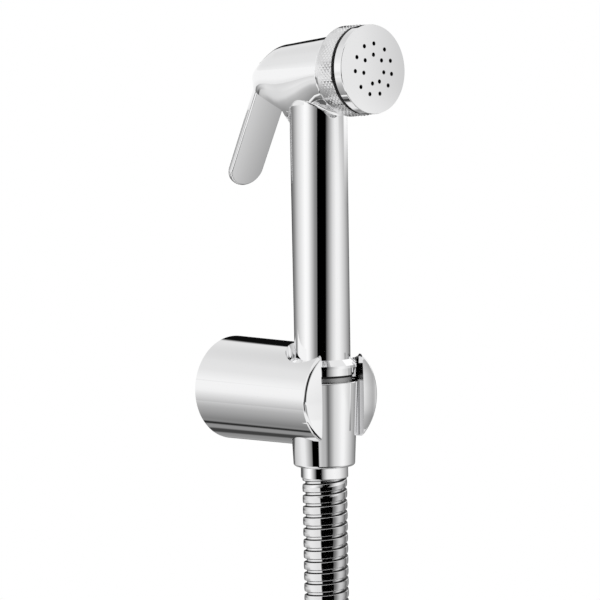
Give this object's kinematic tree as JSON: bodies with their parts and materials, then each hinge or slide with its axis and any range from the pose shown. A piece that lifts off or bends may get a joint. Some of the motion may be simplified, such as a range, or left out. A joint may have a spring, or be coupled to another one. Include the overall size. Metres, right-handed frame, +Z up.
{
  "type": "health faucet",
  "caption": "Hand-held health faucet with a squeeze lever, standing in a drum-shaped wall holder, on a ribbed metal hose put away in a coil.",
  "frame": {"origin": "middle of the holder's wall face, on the wall", "axes": "+Y into the wall, +Z up, +X to the right for someone who faces the wall; the spray face points along -Y"},
  "size_m": [0.1919, 0.0768, 0.4668],
  "materials": {
    "polished_chrome": "polished chrome plate",
    "hose_armour": "chromed rolled strip",
    "steel": "plain",
    "brass": "machined",
    "black_rubber": "matte",
    "white_rubber": "matte",
    "black_strap": "matte"
  },
  "bodies": {
    "holder": {"holder_body": "polished_chrome", "wall_plate": "steel", "grub_screw": "steel"},
    "hose": {"hose_tail_upper": "brass", "ferrule_upper": "polished_chrome", "inner_tube": "white_rubber", "hose_free": "hose_armour", "hose_coil": "hose_armour", "ferrule_lower": "polished_chrome", "hose_tail_lower": "brass", "inlet_washer": "black_rubber", "coil_tie": "black_strap"},
    "inlet_nut": {"inlet_nut": "polished_chrome"},
    "handset": {"handset_body": "polished_chrome", "cone_nut": "polished_chrome", "nut_washer": "black_rubber", "knurled_ring": "polished_chrome", "face_seal": "black_rubber", "spray_face": "polished_chrome", "valve_seat": "brass", "stem_seal": "black_rubber", "gland_nut": "brass", "lever_pin": "steel"},
    "lever": {"lever": "polished_chrome"},
    "valve_stem": {"valve_stem": "brass", "valve_washer": "black_rubber", "spring_cap": "brass", "stem_clip": "steel", "return_spring": "steel"}
  },
  "joints": [
    {"name": "lift", "type": "slide", "parent": "holder", "child": "hose", "axis": [0, 0, 1], "range_m": [0, 0.05]},
    {"name": "handset_swivel", "type": "hinge", "parent": "hose", "child": "handset", "pos_m": [0, -0.0483, -0.0097], "axis": [0, 0, 1], "continuous": true},
    {"name": "lever_squeeze", "type": "hinge", "parent": "handset", "child": "lever", "pos_m": [0, -0.0283, 0.1175], "axis": [-1, 0, 0], "range_deg": [0, 15], "stiffness_Nm_per_rad": 0.2, "springref_deg": -28.65},
    {"name": "stem_slide", "type": "slide", "parent": "handset", "child": "valve_stem", "axis": [0, -1, 0], "range_m": [0, 0.00096], "deforming": ["return_spring"]},
    {"name": "inlet_nut_swivel", "type": "hinge", "parent": "hose", "child": "inlet_nut", "pos_m": [-0.05176, -0.0178, -0.32391], "axis": [-0.9954, 0.0961, 0], "continuous": true}
  ],
  "couplings": [
    {"joint": "stem_slide", "follows": "lever_squeeze", "m_per_rad": 0.0036}
  ]
}
